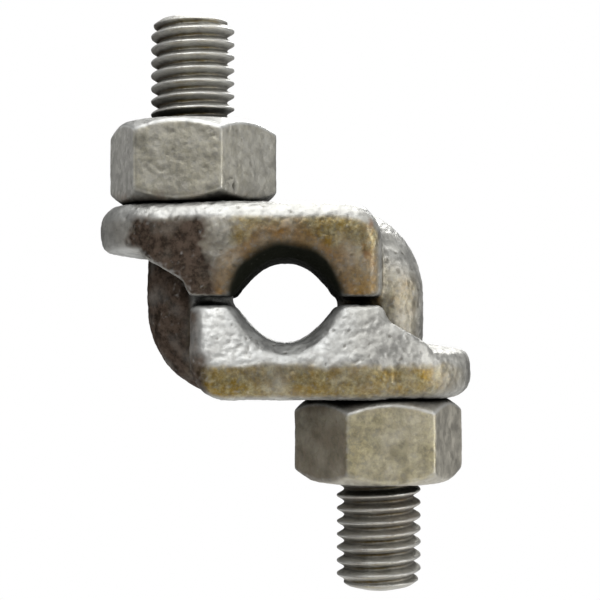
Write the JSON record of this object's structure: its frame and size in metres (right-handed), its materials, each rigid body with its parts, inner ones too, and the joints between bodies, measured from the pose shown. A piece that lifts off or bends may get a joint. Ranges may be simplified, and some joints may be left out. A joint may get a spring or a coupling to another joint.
{
  "type": "wire rope clip",
  "caption": "Fist-grip wire rope clip: two matching forged saddles with integral threaded studs face each other across the rope and are drawn together by heavy hex nuts.",
  "frame": {"origin": "the rope's centre, midway along the rope channel, where the two saddles meet", "axes": "+Y along the rope, +Z along the studs toward the end of the lower saddle's stud, +X toward the lower saddle's lug"},
  "size_m": [0.0556, 0.027, 0.086],
  "materials": {
    "forged_lower_saddle": "hot-dip galvanised forging, mottled and rough",
    "forged_upper_saddle": "hot-dip galvanised forging, mottled and rough",
    "upper_nut_zinc": "hot-dip galvanised, dull",
    "lower_nut_zinc": "hot-dip galvanised, dull"
  },
  "bodies": {
    "lower_saddle": {"lower_saddle": "forged_lower_saddle"},
    "upper_saddle": {"upper_saddle": "forged_upper_saddle"},
    "upper_nut": {"upper_nut": "upper_nut_zinc"},
    "lower_nut": {"lower_nut": "lower_nut_zinc"}
  },
  "joints": [
    {"name": "saddle_slide", "type": "slide", "parent": "lower_saddle", "child": "upper_saddle", "axis": [0, 0, 1], "range_m": [0, 0.013]},
    {"name": "upper_nut_turn", "type": "hinge", "parent": "upper_saddle", "child": "upper_nut", "pos_m": [-0.014, 0, 0.0205], "axis": [0, 0, 1], "range_deg": [0, 2395.4]},
    {"name": "lower_nut_turn", "type": "hinge", "parent": "lower_saddle", "child": "lower_nut", "pos_m": [0.014, 0, -0.0205], "axis": [0, 0, -1], "range_deg": [0, 2395.4]}
  ],
  "couplings": [
    {"joint": "lower_nut_turn", "follows": "saddle_slide", "rad_per_m": 3215.8},
    {"joint": "upper_nut_turn", "follows": "saddle_slide", "rad_per_m": 3215.8}
  ]
}
